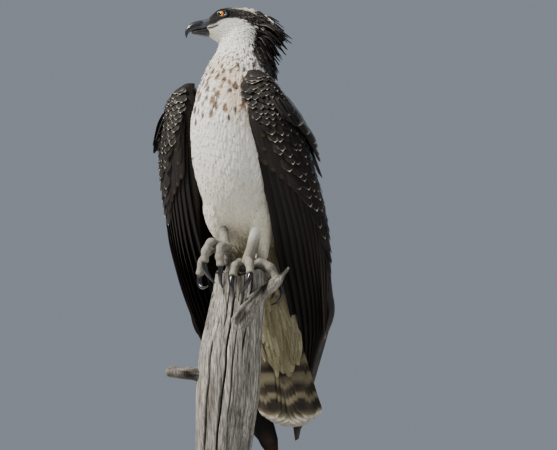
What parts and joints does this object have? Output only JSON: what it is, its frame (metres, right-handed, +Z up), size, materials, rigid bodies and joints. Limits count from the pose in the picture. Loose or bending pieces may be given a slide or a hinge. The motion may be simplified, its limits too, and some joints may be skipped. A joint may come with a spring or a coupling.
{
  "type": "bird of prey model",
  "caption": "Still, life-size young osprey gripping the broken top of a grey dead trunk, head in profile and wings hung loosely at its sides, held up by a round display stand.",
  "frame": {"origin": "middle of the display base's underside, on the floor", "axes": "+Z up along the height, -Y towards the viewer who sees the breast, -X the way the bill points"},
  "size_m": [0.2472, 0.242, 0.6412],
  "materials": {
    "stand_paint": "satin black paint",
    "stand_steel": "brushed",
    "pale_plumage": "soft white and cream body feathers, flecked with brown on the breast",
    "head_plumage": "white feathers with a dark eye stripe and streaked crown",
    "bill_horn": "dark horn with a blue-grey base",
    "eye": "wet, orange iris and black pupil",
    "wing_feathers": "dark brown feathers with pale tips",
    "tail_feathers": "barred pale and dark, with pale tips",
    "foot_skin": "rough, pale grey scales",
    "claw_horn": "smooth black horn",
    "dead_wood": "weathered grey, split along the grain"
  },
  "bodies": {
    "root": {"stand_base": "stand_paint", "stand_rod": "stand_steel", "torso": "pale_plumage", "neck": "pale_plumage", "head": "head_plumage", "bill_upper": "bill_horn", "bill_lower": "bill_horn", "eye_left": "eye", "eye_right": "eye", "wing_left": "wing_feathers", "wing_right": "wing_feathers", "tail": "tail_feathers", "thigh_left": "pale_plumage", "thigh_right": "pale_plumage", "shank_left": "foot_skin", "shank_right": "foot_skin", "foot_left": "foot_skin", "foot_right": "foot_skin", "claw_left_1": "claw_horn", "claw_left_2": "claw_horn", "claw_left_3": "claw_horn", "claw_left_4": "claw_horn", "claw_right_1": "claw_horn", "claw_right_2": "claw_horn", "claw_right_3": "claw_horn", "claw_right_4": "claw_horn", "perch_trunk": "dead_wood", "perch_branch": "dead_wood", "perch_stub": "dead_wood"}
  },
  "joints": []
}
